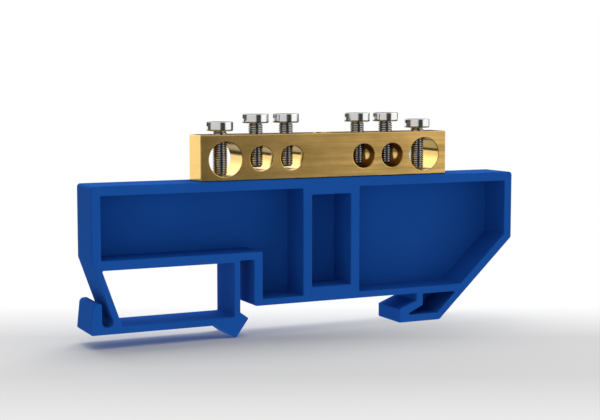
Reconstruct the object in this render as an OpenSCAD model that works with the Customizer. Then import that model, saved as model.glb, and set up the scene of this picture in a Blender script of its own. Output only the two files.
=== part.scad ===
// Neutral terminal bar: a brass bar with six wire holes, each with its own clamp screw,
// on a moulded holder that snaps onto a 35 mm top-hat rail.
// Millimetres, +Z up. The bar lies along X and the holder's open pockets face -Y.
// The holder stands at z = 0 on the underside of its hook and on the toe of its latch.

/* [Terminal bar] */
// Height of the bar's section
bar_h = 8; // [7.6:0.1:10]
// Thickness of the bar's section
bar_t = 5.5; // [5.2:0.1:7]
// Diameter of the two large wire holes
big_hole_d = 6.2; // [5:0.1:6.4]
// Diameter of the four small wire holes
small_hole_d = 4.4; // [3.4:0.1:5]
// Height of the wire holes' axis above the bar's underside
hole_level = 3.75; // [3.6:0.05:4]
// Distance between the two wire holes beside the middle of the bar
middle_gap = 14.4; // [12:0.1:18]
// Distance between neighbouring small holes
small_pitch = 5.9; // [5.6:0.1:7]
// Distance from a large hole to the small hole next to it
big_pitch = 6.8; // [6.2:0.1:8]
// Distance from a large hole's axis to the end of the bar
end_margin = 4.65; // [4:0.05:6]
// Chamfer at the mouth of each hole
mouth_chamfer = 0.1; // [0.05:0.05:0.3]
// Chamfer along the bar's edges
bar_chamfer = 0.15; // [0.05:0.05:0.3]

/* [Clamp screws] */
// Thread diameter
screw_d = 2.5; // [2:0.1:3]
// Radial clearance between the thread and its tapped hole
thread_play = 0.04; // [0.02:0.01:0.08]
// Diameter of the cheese head
head_d = 4.7; // [3.8:0.1:5.2]
// Height of the cheese head
head_h = 1.6; // [1.3:0.1:2.2]
// Chamfer round the head's two edges
head_chamfer = 0.12; // [0.02:0.02:0.3]
// Width of the driving slot
slot_w = 0.6; // [0.4:0.05:0.9]
// Depth of the driving slot
slot_depth = 0.75; // [0.4:0.05:1]
// Chamfer at the screw's tip
tip_chamfer = 0.35; // [0.1:0.05:0.6]
// Clearance between the tip's edge and the floor of a large wire hole, when tightened
big_tip_gap = 0.04; // [0.02:0.02:0.3]
// Clearance between the tip's edge and the floor of a small wire hole, when tightened
small_tip_gap = 0.36; // [0.02:0.02:0.6]
// Gap under the head of a screw that is tightened into a large wire hole
head_gap = 0.6; // [0.4:0.05:1.2]

/* [Fixing screw] */
// Thread diameter of the countersunk screw that holds the bar down
fix_d = 2.5; // [2:0.1:3]
// Diameter of its countersunk head
fix_head_d = 4.4; // [3.8:0.1:4.8]
// Depth of its head's edge below the bar's top
fix_sink = 0.1; // [0:0.05:0.3]
// Length that it reaches into the holder
fix_reach = 2.4; // [1.6:0.1:2.6]
// Depth of its driving slot
fix_slot_depth = 0.5; // [0.3:0.05:0.8]
// Radial clearance round its shank and its head
fix_play = 0.04; // [0.02:0.01:0.1]

/* [Holder body] */
// Length of the body, from its left side to its right side
body_len = 83.2; // [80:0.2:92]
// Height from the body's underside to its top
body_h = 22.1; // [21:0.1:25]
// Depth from front to back
holder_depth = 8.2; // [7.6:0.1:12]
// Thickness of the outer walls and of the shelf over the latch
wall = 1.65; // [1.3:0.05:2]
// Thickness of the bottom wall
base_wall = 1.2; // [0.9:0.05:1.8]
// Thickness of the back wall behind the pockets
back_wall = 1.3; // [0.9:0.05:2]
// Thickness of the two ribs beside the middle pocket
rib = 1.75; // [1.2:0.05:2.4]
// Width of the middle pocket
core_w = 7.8; // [6:0.1:9]
// Thickness of the wall over the middle pocket
core_roof = 2.85; // [2.7:0.05:3.6]
// Thickness of the wall under the middle pocket
core_floor = 2.65; // [1.8:0.05:3.4]
// Distance of the bar's middle to the right of the body's middle
core_shift = 2.9; // [1:0.1:4]
// Height of the right side, from the top to the sloping corner
side_h = 12.6; // [11:0.1:14]
// Drop from the top to the floor of the shallow left pocket
shelf_drop = 12.5; // [11:0.1:13]
// Radius of the outer corners
outer_r = 0.6; // [0.2:0.1:1]
// Radius of the pockets' corners
pocket_r = 0.2; // [0.1:0.05:0.5]

/* [Hook] */
// Width of the rail
rail_w = 35; // [34:0.1:36]
// Thickness of the rail's flanges
rail_t = 1; // [0.8:0.1:1.5]
// Play of the rail between the hook and the latch
rail_play = 0.6; // [0.2:0.1:1]
// Play of the rail's flange under the body
flange_play = 0.35; // [0.1:0.05:0.5]
// Drop from the body's underside to the hook's underside
foot_drop = 5.3; // [5:0.1:6.5]
// Reach of the hook under the rail
hook_reach = 3.65; // [2.5:0.05:4.5]
// Slope of the hook's upper face
hook_slope = 21; // [16:1:24]
// Length of the hook's flat underside
foot_len = 8.7; // [8:0.1:10]
// Thickness of the walls round the hook's pocket
hook_wall = 1.35; // [1.1:0.05:1.6]

/* [Latch] */
// Thickness of the two spring legs
spring_t = 1.15; // [0.9:0.05:1.4]
// Lean of the outer spring leg
leg_lean = 19.5; // [15:0.5:24]
// Gap between the inner spring leg and the body
flex_gap = 2.6; // [1.8:0.1:3.4]
// Rise of that gap past the underside of the shelf
flex_rise = 0.3; // [0:0.05:0.6]
// Drop from the body's underside to the top of the ledge
ledge_drop = 1.6; // [1.2:0.1:1.9]
// Thickness of the ledge
ledge_t = 1.25; // [1:0.05:1.6]
// Drop from the body's underside to the root of the catch
catch_drop = 0.9; // [0.5:0.05:1]
// Reach of the catch under the rail
catch_reach = 1.55; // [1:0.05:2]
// Slope of the catch's upper face
catch_slope = 36; // [30:1:44]
// Width of the release tab at its foot
tab_w = 2.1; // [1.6:0.05:2.4]
// Height of the release tab above the underside of the ledge
tab_h = 5.35; // [4.5:0.05:6.5]
// Distance that the tab stands out past the body's left side
tab_out = 0.4; // [0:0.05:0.6]
// Lean of the tab's outer face
tab_lean = 6; // [0:0.5:8]
// Radius of the tab's inner upper corner
tab_r = 0.45; // [0.1:0.05:0.5]
// Radius of the tab's outer upper corner
tab_crown_r = 0.8; // [0.2:0.05:0.9]
// Radius of the outer corner at the tab's foot
tab_foot_r = 0.5; // [0.2:0.05:0.8]
// Radius of the corners of the ledge, the catch and the hook
small_r = 0.2; // [0.1:0.05:0.4]

/* [Hidden] */
$fn = 72;
// Overlap of a cutting shape past the face that it cuts
cut = 0.5;
// Overlap of a corner's sliver past its two sides
lap = 0.02;
// Shift of a corner's arc towards the corner, so that it crosses both sides
nip = 0.001;

// Levels of the holder
z_base = foot_drop;
z_top = z_base + body_h;
z_shelf = z_top - shelf_drop;
z_soffit = z_shelf - wall;
z_flex = z_soffit + flex_rise;
z_corner = z_top - side_h;
z_ledge = z_base - ledge_drop;
z_under = z_ledge - ledge_t;
z_catch = z_base - catch_drop;
z_tab = z_under + tab_h;
z_hook = z_base - rail_t - flange_play;
z_lip = z_hook - hook_reach * tan(hook_slope);

// Places along the holder, with its whole length centred on x = 0
x_left = tab_out / 2 - body_len / 2;
x_right = x_left + body_len;
x_core = x_left + body_len / 2 + core_shift;
x_leg = x_core - (rail_w + rail_play) / 2;
x_notch = x_core + (rail_w + rail_play) / 2;
x_wall = x_leg + flex_gap;
x_lip = x_notch - hook_reach;
x_heel = x_lip + foot_len;
x_tab = x_left - tab_out;
x_tab_in = x_tab + tab_w;

// The outer leg's two faces at height z
function leg_out(z) = x_left + (z_shelf - z) * tan(leg_lean);
function leg_in(z) = leg_out(z) + spring_t / cos(leg_lean);

// The slot between the tab and the outer leg: its floor, nearly all of it taken by the two round corners
slot_floor = leg_out(z_ledge) - x_tab_in;
floor_share = 0.95;
slot_r = floor_share * slot_floor / (1 + 1 / tan((90 - leg_lean) / 2));

// The catch: its shoulder under the rail's edge, and the square corner that is rounded into its toe
shoulder = [x_leg + catch_reach, z_catch - catch_reach * tan(catch_slope)];
z_toe = small_r * (1 - sin(catch_slope) - cos(catch_slope));
x_toe = shoulder.x - (shoulder.y - z_toe) * tan(catch_slope);
x_catch_end = x_toe - (z_under - z_toe) / tan(catch_slope);

// The sloping wall at the lower right: its direction, and the line at depth t inside it
slope = unit([x_heel - x_right, -z_corner]);
function slope_z(x, t) = z_corner + ((x - x_right) * slope.y - t) / slope.x;
function slope_x(z, t) = x_right + ((z - z_corner) * slope.x + t) / slope.y;

// The line at depth hook_wall under the hook's upper face
hook_skin = hook_wall / cos(hook_slope);
function hook_z(x) = z_hook + (x - x_notch) * tan(hook_slope) - hook_skin;
function hook_x(z) = x_notch + (z - z_hook + hook_skin) / tan(hook_slope);

// Pocket edges
x_core_l = x_core - core_w / 2;
x_core_r = x_core + core_w / 2;
z_floor = z_base + base_wall;
z_roof = z_top - wall;
z_hook_roof = z_floor - hook_wall;
x_hook_l = x_notch + hook_wall;

// Outlines run counterclockwise as seen from the front, as [x, z, corner radius]
OUTLINE = [
    [x_left, z_top, outer_r],
    [x_left, z_shelf, outer_r],
    [leg_out(z_ledge), z_ledge, slot_r],
    [x_tab_in, z_ledge, slot_r],
    [x_tab_in, z_tab, tab_r],
    [x_tab + tab_h * tan(tab_lean), z_tab, tab_crown_r],
    [x_tab, z_under, tab_foot_r],
    [x_catch_end, z_under, small_r],
    [x_toe, z_toe, small_r],
    [shoulder.x, shoulder.y, small_r],
    [x_leg, z_catch, small_r],
    [x_leg, z_flex, pocket_r],
    [x_wall, z_flex, pocket_r],
    [x_wall, z_base, outer_r],
    [x_notch, z_base, 0],
    [x_notch, z_hook, 0],
    [x_lip, z_lip, small_r],
    [x_lip, 0, small_r],
    [x_heel, 0, outer_r],
    [x_right, z_corner, outer_r],
    [x_right, z_top, outer_r]
];
LATCH_WINDOW = [
    [leg_in(z_soffit), z_soffit, pocket_r],
    [leg_in(z_ledge), z_ledge, pocket_r],
    [x_leg - spring_t, z_ledge, pocket_r],
    [x_leg - spring_t, z_soffit, pocket_r]
];
LEFT_POCKET = [
    [x_left + wall, z_roof, pocket_r],
    [x_left + wall, z_shelf, pocket_r],
    [x_wall + wall, z_shelf, pocket_r],
    [x_wall + wall, z_floor, pocket_r],
    [x_core_l - rib, z_floor, pocket_r],
    [x_core_l - rib, z_roof, pocket_r]
];
CORE_POCKET = [
    [x_core_l, z_top - core_roof, pocket_r],
    [x_core_l, z_base + core_floor, pocket_r],
    [x_core_r, z_base + core_floor, pocket_r],
    [x_core_r, z_top - core_roof, pocket_r]
];
RIGHT_POCKET = [
    [x_core_r + rib, z_roof, pocket_r],
    [x_core_r + rib, z_floor, pocket_r],
    [slope_x(z_floor, wall), z_floor, pocket_r],
    [x_right - wall, slope_z(x_right - wall, wall), pocket_r],
    [x_right - wall, z_roof, pocket_r]
];
HOOK_POCKET = [
    [x_hook_l, z_hook_roof, pocket_r],
    [x_hook_l, hook_z(x_hook_l), pocket_r],
    [max(x_lip + hook_wall, hook_x(hook_wall)), hook_wall, pocket_r],
    [slope_x(hook_wall, hook_wall), hook_wall, pocket_r],
    [slope_x(z_hook_roof, hook_wall), z_hook_roof, pocket_r]
];

// Bar and screws, with x measured from the bar's middle
bar_len = middle_gap + 2 * (small_pitch + big_pitch + end_margin);
z_bar_top = z_top + bar_h;
z_hole = z_top + hole_level;
x_inner = middle_gap / 2;
x_outer = x_inner + small_pitch;
x_end = x_outer + big_pitch;
// The level of a tightened screw's tip over a wire hole of diameter d, and the thread's length under the head
r_tip = screw_d / 2 - tip_chamfer;
function tip_level(d, gap) = z_hole - sqrt(pow(d / 2, 2) - pow(r_tip, 2)) + gap;
screw_len = z_bar_top + head_gap - tip_level(big_hole_d, big_tip_gap);
// Each wire hole: its place, its diameter and the clearance under its screw's tip
HOLES = [
    [-x_end, big_hole_d, big_tip_gap],
    [-x_outer, small_hole_d, small_tip_gap],
    [-x_inner, small_hole_d, small_tip_gap],
    [x_inner, small_hole_d, small_tip_gap],
    [x_outer, small_hole_d, small_tip_gap],
    [x_end, big_hole_d, big_tip_gap]
];

function unit(v) = v / norm(v);
function xy(p) = [p.x, p.y];
function turn(a, b) = a.x * b.y - a.y * b.x;
// Corner i of an outline, and the directions of its sides back to the corner before and on to the next
function corner(pts, i) = xy(pts[(i + len(pts)) % len(pts)]);
function back(pts, i) = unit(corner(pts, i - 1) - corner(pts, i));
function ahead(pts, i) = unit(corner(pts, i + 1) - corner(pts, i));
// True where a corner with a radius runs into the outline
function runs_in(pts, i) = pts[i][2] > 0 && turn(back(pts, i), ahead(pts, i)) > 0;
function stands_out(pts, i) = pts[i][2] > 0 && turn(back(pts, i), ahead(pts, i)) < 0;
// The arc that rounds corner i: half the corner's angle, its centre and where it meets each side
function half_angle(pts, i) = acos(back(pts, i) * ahead(pts, i)) / 2;
function bisector(pts, i) = unit(back(pts, i) + ahead(pts, i));
function arc_centre(pts, i) = corner(pts, i) + bisector(pts, i) * (pts[i][2] / sin(half_angle(pts, i)) - nip);
function arc_foot(pts, i, side) = corner(pts, i) + side * pts[i][2] / tan(half_angle(pts, i));

// The sliver between standing corner i and its arc
module sliver(pts, i) {
    centre = arc_centre(pts, i);
    foot_back = arc_foot(pts, i, back(pts, i));
    foot_ahead = arc_foot(pts, i, ahead(pts, i));
    difference() {
        polygon([
            centre,
            foot_back + unit(foot_back - centre) * lap,
            corner(pts, i) - bisector(pts, i) * lap / sin(half_angle(pts, i)),
            foot_ahead + unit(foot_ahead - centre) * lap
        ]);
        translate(centre) circle(r = pts[i][2]);
    }
}

// An outline with round corners: an inside corner is filled to its arc's centre and cut back by the arc
module rounded(pts) {
    last = len(pts) - 1;
    difference() {
        polygon([
            for (i = [0 : last])
                each runs_in(pts, i)
                    ? [arc_foot(pts, i, back(pts, i)), arc_centre(pts, i), arc_foot(pts, i, ahead(pts, i))]
                    : [corner(pts, i)]
        ]);
        for (i = [0 : last]) {
            if (runs_in(pts, i)) translate(arc_centre(pts, i)) circle(r = pts[i][2]);
            if (stands_out(pts, i)) sliver(pts, i);
        }
    }
}

// Stands a flat outline upright, from y_front to y_back
module upright(y_front, y_back) {
    translate([0, y_back, 0]) rotate([90, 0, 0]) linear_extrude(y_back - y_front) children();
}

// One moulding: walled tray, fixed hook, and a latch on two spring legs
module holder() {
    y_back = holder_depth / 2;
    color([0.10, 0.30, 0.62]) difference() {
        upright(-y_back, y_back) difference() {
            rounded(OUTLINE);
            rounded(LATCH_WINDOW);
        }
        upright(-y_back - cut, y_back - back_wall) {
            rounded(LEFT_POCKET);
            rounded(CORE_POCKET);
            rounded(RIGHT_POCKET);
            rounded(HOOK_POCKET);
        }
        translate([x_core, 0, z_top - core_roof - cut])
            cylinder(d = fix_d + 2 * fix_play, h = core_roof + 2 * cut);
    }
}

// Cross hole of diameter d through the bar, chamfered at both mouths
module wire_hole(d) {
    y_face = bar_t / 2;
    r = d / 2;
    r_out = r + mouth_chamfer + cut;
    translate([0, 0, z_hole]) rotate([90, 0, 0]) rotate_extrude() polygon([
        [0, -y_face - cut],
        [r_out, -y_face - cut],
        [r, -y_face + mouth_chamfer],
        [r, y_face - mouth_chamfer],
        [r_out, y_face + cut],
        [0, y_face + cut]
    ]);
}

// Tapped hole from the bar's top down into a wire hole
module tapped_hole() {
    r = screw_d / 2 + thread_play;
    rotate_extrude() polygon([
        [0, z_hole],
        [r, z_hole],
        [r, z_bar_top - mouth_chamfer],
        [r + mouth_chamfer + cut, z_bar_top + cut],
        [0, z_bar_top + cut]
    ]);
}

// The fixing screw's form, or with some play the countersunk hole that takes it
module fixing_shape(play) {
    r = fix_d / 2 + play;
    r_head = fix_head_d / 2 + play;
    z_edge = z_bar_top - fix_sink;
    rotate_extrude() polygon([
        [0, z_top - fix_reach - play],
        [r, z_top - fix_reach - play],
        [r, z_edge - (r_head - r)],
        [r_head, z_edge],
        [r_head, z_edge + (play > 0 ? fix_sink + cut : 0)],
        [0, z_edge + (play > 0 ? fix_sink + cut : 0)]
    ]);
}

// Brass bar on top of the holder
module terminal_bar() {
    y = bar_t / 2;
    c = bar_chamfer;
    color([0.74, 0.58, 0.30]) translate([x_core, 0, 0]) difference() {
        translate([-bar_len / 2, 0, z_top]) rotate([90, 0, 90]) linear_extrude(bar_len) polygon([
            [-y + c, 0],
            [y - c, 0],
            [y, c],
            [y, bar_h - c],
            [y - c, bar_h],
            [-y + c, bar_h],
            [-y, bar_h - c],
            [-y, c]
        ]);
        for (h = HOLES) {
            translate([h[0], 0, 0]) {
                wire_hole(h[1]);
                tapped_hole();
            }
        }
        fixing_shape(fix_play);
    }
}

// Slotted cheese-head screw over wire hole i, tightened down to the hole's floor
module clamp_screw(i) {
    r = screw_d / 2;
    r_head = head_d / 2;
    z_head = screw_len + head_h;
    z_tip = tip_level(HOLES[i][1], HOLES[i][2]);
    color([0.80, 0.80, 0.79]) translate([x_core + HOLES[i][0], 0, z_tip]) difference() {
        rotate_extrude() polygon([
            [0, 0],
            [r_tip, 0],
            [r, tip_chamfer],
            [r, screw_len],
            [r_head - head_chamfer, screw_len],
            [r_head, screw_len + head_chamfer],
            [r_head, z_head - head_chamfer],
            [r_head - head_chamfer, z_head],
            [0, z_head]
        ]);
        translate([-head_d, -slot_w / 2, z_head - slot_depth]) cube([2 * head_d, slot_w, slot_depth + cut]);
    }
}

module clamp_screw_1() clamp_screw(0);
module clamp_screw_2() clamp_screw(1);
module clamp_screw_3() clamp_screw(2);
module clamp_screw_4() clamp_screw(3);
module clamp_screw_5() clamp_screw(4);
module clamp_screw_6() clamp_screw(5);

// Countersunk slotted screw through the bar's middle into the holder's roof
module fixing_screw() {
    z_edge = z_bar_top - fix_sink;
    color([0.72, 0.72, 0.71]) translate([x_core, 0, 0]) difference() {
        fixing_shape(0);
        translate([-fix_head_d, -slot_w / 2, z_edge - fix_slot_depth])
            cube([2 * fix_head_d, slot_w, fix_slot_depth + cut]);
    }
}

holder();
terminal_bar();
clamp_screw_1();
clamp_screw_2();
clamp_screw_3();
clamp_screw_4();
clamp_screw_5();
clamp_screw_6();
fixing_screw();
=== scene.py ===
"""Looks of a neutral terminal bar: a brass bar with clamp screws on a moulded rail holder.

Sizes are millimetres in the part's own frame, and become metres when a mesh is made.
Every surface is a grid of points worked out from two parameters, or a flat fill between loops.
"""

import logging
from dataclasses import dataclass, field
from enum import Enum, IntEnum
from typing import Iterable, Sequence

import bmesh
import bpy
import numpy as np
from mathutils import Euler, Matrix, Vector
from mathutils.geometry import tessellate_polygon
from numpy.typing import ArrayLike


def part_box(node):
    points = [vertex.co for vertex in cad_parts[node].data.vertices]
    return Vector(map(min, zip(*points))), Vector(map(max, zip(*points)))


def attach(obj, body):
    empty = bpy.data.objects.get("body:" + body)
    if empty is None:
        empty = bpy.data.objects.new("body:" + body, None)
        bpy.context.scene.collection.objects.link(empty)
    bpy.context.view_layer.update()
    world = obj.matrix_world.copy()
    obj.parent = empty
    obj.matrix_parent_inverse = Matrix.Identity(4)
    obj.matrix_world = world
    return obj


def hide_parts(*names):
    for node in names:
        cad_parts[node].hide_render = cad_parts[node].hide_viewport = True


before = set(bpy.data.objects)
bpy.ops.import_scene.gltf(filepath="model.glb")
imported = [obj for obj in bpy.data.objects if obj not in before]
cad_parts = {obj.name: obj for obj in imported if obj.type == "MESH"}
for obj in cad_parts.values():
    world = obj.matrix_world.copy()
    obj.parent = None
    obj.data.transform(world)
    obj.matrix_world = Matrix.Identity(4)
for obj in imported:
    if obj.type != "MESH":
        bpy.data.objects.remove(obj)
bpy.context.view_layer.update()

LOG = logging.getLogger("terminal_bar")
MM = 0.001  # metres in a millimetre
FULL_TURN = 2 * np.pi
WELD_MM = 0.0004  # points nearer than this become one
SHARP_ANGLE = np.radians(38.0)  # faces that meet at more than this are shaded apart
HOLD = 0.015  # width of the strip beside a rounded edge that keeps the flat's shading
LEAST_RADIUS = 0.02  # least radius that a corner keeps when its sides move

Array = np.ndarray
Pair = tuple[float, float]
Triple = tuple[float, float, float]
Stops = tuple[Pair, ...]
Socket = bpy.types.NodeSocket


class Axis(Enum):
    """A way through the part: the two coordinates across it, then the one along it."""

    X = [1, 2, 0]
    Y = [0, 2, 1]
    Z = [0, 1, 2]


class Body(Enum):
    """The bodies of the part that a piece can ride on."""

    BASE = "base"
    SCREW = "screw_{}"


class BarSlot(IntEnum):
    """The places of the bar's finishes in its list of materials."""

    FACE = 0
    BORE = 1
    # bores with painted shade and a painted highlight
    PAINTED_SHADE = 2
    END = 3


class ScrewSlot(IntEnum):
    """The places of a screw's finishes in its list of materials. The fixing screw has one."""

    HEAD = 0
    # the thread and the head's underside, in the darker steel that carries painted shade
    THREAD = 1


def unit(v: Array) -> Array:
    """Returns the vectors in the last axis at length one."""
    return v / np.linalg.norm(v, axis=-1, keepdims=True)


def metres(sizes: Sequence[float]) -> tuple[float, ...]:
    """Returns millimetres as metres."""
    return tuple(size * MM for size in sizes)


def full_turn(sides: int) -> Array:
    """Returns the angles of a closed ring with a number of sides."""
    return np.linspace(0.0, FULL_TURN, sides, endpoint=False)


def circle(radius: float, angles: Array) -> Array:
    """Returns the points of a circle at the given angles, as rows of two coordinates."""
    return radius * np.stack([np.cos(angles), np.sin(angles)], axis=-1)


def around(patch: Array) -> Array:
    """Returns the corners of a patch of two rows and two columns, in order round it."""
    return np.concatenate([patch[0], patch[1, ::-1]])


def laid(flat: Array, depth: ArrayLike, axis: Axis = Axis.Z) -> Array:
    """Lays flat points out in space: two coordinates across an axis and a place along it.

    Args:
        flat: the coordinates across the axis, in the array's last dimension.
        depth: the place along it, one for all points or one for each.
        axis: the way that the depth runs.

    Returns:
        The points, with x, y and z in the last dimension.
    """
    points = np.empty((*flat.shape[:-1], 3))
    points[..., axis.value[:2]], points[..., axis.value[2]] = flat, depth
    return points


def round_edge(radius: float, steps: int = 4) -> tuple[Array, Array]:
    """Works out a rounded edge, from the face that it starts on to the wall that it ends on.

    The edge is a quarter circle. A point lies just before it and one just after it, so that the
    flats beside it keep their own shading.

    Args:
        radius: radius of the edge.
        steps: straight steps in the quarter circle.

    Returns:
        The distance in from the wall and the distance down from the face, one value a point.
    """
    t = np.linspace(0.0, np.pi / 2, steps + 1)
    inset = np.r_[radius + HOLD, radius * (1 - np.sin(t)), 0.0]
    drop = np.r_[0.0, radius * (1 - np.cos(t)), radius + HOLD]
    return inset, drop


def rounded_wall(radius: float, low: float, high: float, steps: int = 4) -> tuple[Array, Array]:
    """Works out a straight wall between two faces, with the same rounded edge at each.

    Args:
        radius: radius of the edges.
        low: place of the first face.
        high: place of the second face.
        steps: straight steps in each edge.

    Returns:
        The distance in from the wall and the place between the faces, one value a point.
    """
    inset, drop = round_edge(radius, steps)
    return np.r_[inset, inset[::-1]], np.r_[low + drop, (high - drop)[::-1]]


def turned(radius: ArrayLike, along: ArrayLike, angles: Array, centre: Sequence[float],
           axis: Axis = Axis.Z) -> Array:
    """Turns a profile about an axis: a radius and a place along the axis, by an angle round it.

    Args:
        radius: one value a row, or one for each angle of each row.
        along: place along the axis, in the same way.
        angles: angles round the axis.
        centre: place of the axis.
        axis: the way that the axis runs.

    Returns:
        A grid of points, one row for each point of the profile.
    """
    radius, along = (np.reshape(values, (len(values), -1)) for values in (radius, along))
    return laid(radius[..., None] * circle(1.0, angles) + centre, along, axis)


@dataclass(frozen=True)
class Loop:
    """A closed outline, counterclockwise: rows of a rounded corner's two coordinates and radius."""

    corners: tuple[Triple, ...]
    steps: int = 8

    def side(self, corner: int) -> int:
        """Returns the column of the straight side that follows a corner."""
        per_corner = self.steps + 3  # the arc's points and one on each side of it
        return (corner % len(self.corners) + 1) * per_corner - 1

    def carried(self, out: Array, depth: Array, axis: Axis) -> Array:
        """Carries the outline along an axis.

        A row is the outline at one depth, with its sides moved out by one distance. A corner's tip
        moves along its mitre, which is the sum of the two sides' normals over one plus their
        cosine. Its arc lies one radius from a centre on that mitre, and its normal turns evenly
        from one side's to the other's. A standing corner's radius grows as the sides move out, and
        an inside corner's shrinks.

        Args:
            out: distance out of the outline, one value a row.
            depth: place along the axis, one value a row.
            axis: the way that the outline is carried.

        Returns:
            A grid of points, one row for each depth.
        """
        table = np.asarray(self.corners, float)
        at, radius = table[:, :2], table[:, 2]
        coming = unit(at - np.roll(at, 1, axis=0))
        going = np.roll(coming, -1, axis=0)
        first, last = (np.stack([way[:, 1], -way[:, 0]], axis=-1) for way in (coming, going))
        turn = np.sign(coming[:, 0] * going[:, 1] - coming[:, 1] * going[:, 0])
        cosine = (first * last).sum(axis=1)
        sweep = np.arccos(cosine)[:, None, None]
        mitre = (first + last) / (1 + cosine)[:, None]
        t = np.linspace(0.0, 1.0, self.steps + 1)[None, :, None]
        normal = np.sin((1 - t) * sweep) * first[:, None] + np.sin(t * sweep) * last[:, None]
        normal /= np.sin(sweep)
        move = out[:, None]
        bend = np.maximum(radius + turn * move, LEAST_RADIUS)
        tip = at + move[..., None] * mitre
        reach = (turn * bend)[..., None]
        arc = (tip - reach * mitre)[:, :, None] + reach[..., None] * normal
        foot = (bend * np.tan(sweep[:, 0, 0] / 2) + HOLD)[..., None]
        before, after = (tip - coming * foot)[:, :, None], (tip + going * foot)[:, :, None]
        flat = np.concatenate([before, arc, after], axis=2).reshape(len(move), -1, 2)
        return laid(flat, depth[:, None], axis)


@dataclass
class Skin:
    """One piece's surface, gathered from grids and flat fills."""

    points: list[Array] = field(default_factory=list)
    faces: list[list[int]] = field(default_factory=list)
    slots: list[int] = field(default_factory=list)
    count: int = 0

    def _keep(self, points: Array, faces: Array, slot: int) -> None:
        """Keeps more points, and faces of one finish between them.

        Args:
            points: the points.
            faces: rows of point numbers, counted from the first of these points.
            slot: the finish's place in the piece's list of materials.
        """
        self.points.append(points.reshape(-1, 3))
        self.faces += (faces + self.count).tolist()
        self.slots += [slot] * len(faces)
        self.count += points.size // 3

    def grid(self, points: Array, wrap: bool = True, slot: int = 0,
             drop: Iterable[tuple[int, int]] = ()) -> Array:
        """Adds the surface through a grid of points.

        Args:
            points: rows and columns of points.
            wrap: whether the last column joins the first.
            slot: the finish's place in the piece's list of materials.
            drop: rows and columns of faces that are left open.

        Returns:
            The points as they were given.
        """
        number = np.arange(points.size // 3).reshape(points.shape[:2])
        if wrap:
            number = np.concatenate([number, number[:, :1]], axis=1)
        corners = [number[:-1, :-1], number[:-1, 1:], number[1:, 1:], number[1:, :-1]]
        faces = np.stack(corners, axis=-1)
        kept = np.ones(faces.shape[:2], bool)
        gone = np.array(list(drop), int).reshape(-1, 2)
        kept[gone[:, 0], gone[:, 1]] = False
        self._keep(points, faces[kept], slot)
        return points

    def fill(self, loops: Sequence[Array], axis: Axis, slot: int = 0) -> None:
        """Fills a flat outline, less its holes, with triangles.

        Args:
            loops: the outline's points, then those of each hole.
            axis: the way that the fill faces.
            slot: the finish's place in the piece's list of materials.
        """
        rings = [[Vector(p) for p in loop[:, axis.value[:2]].tolist()] for loop in loops]
        faces = np.array(tessellate_polygon(rings), int).reshape(-1, 3)
        self._keep(np.concatenate(loops), faces, slot)

    def build(self, name: str, materials: Sequence[bpy.types.Material]) -> bpy.types.Object:
        """Makes the piece's object, with its seams welded and its faces pointing outwards.

        Args:
            name: the piece's name.
            materials: its finishes, in the order of the slots.

        Returns:
            The object, at the origin, with its place in its mesh.
        """
        mesh = bpy.data.meshes.new(name)
        mesh.from_pydata((np.concatenate(self.points) * MM).tolist(), [], self.faces)
        mesh.polygons.foreach_set("material_index", np.array(self.slots, np.int32))
        shell = bmesh.new()
        shell.from_mesh(mesh)
        bmesh.ops.remove_doubles(shell, verts=shell.verts, dist=WELD_MM * MM)
        bmesh.ops.dissolve_degenerate(shell, edges=shell.edges, dist=WELD_MM * MM)
        bmesh.ops.recalc_face_normals(shell, faces=shell.faces)
        if shell.calc_volume(signed=True) < 0:
            bmesh.ops.reverse_faces(shell, faces=shell.faces)
        open_edges = sum(len(edge.link_faces) != 2 for edge in shell.edges)
        shell.to_mesh(mesh)
        shell.free()
        mesh.shade_smooth()
        mesh.set_sharp_from_angle(angle=float(SHARP_ANGLE))
        for material in materials:
            mesh.materials.append(material)
        piece = bpy.data.objects.new(name, mesh)
        bpy.context.scene.collection.objects.link(piece)
        LOG.info("%s: %d faces, %d open edges", name, len(mesh.polygons), open_edges)
        return piece


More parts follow.
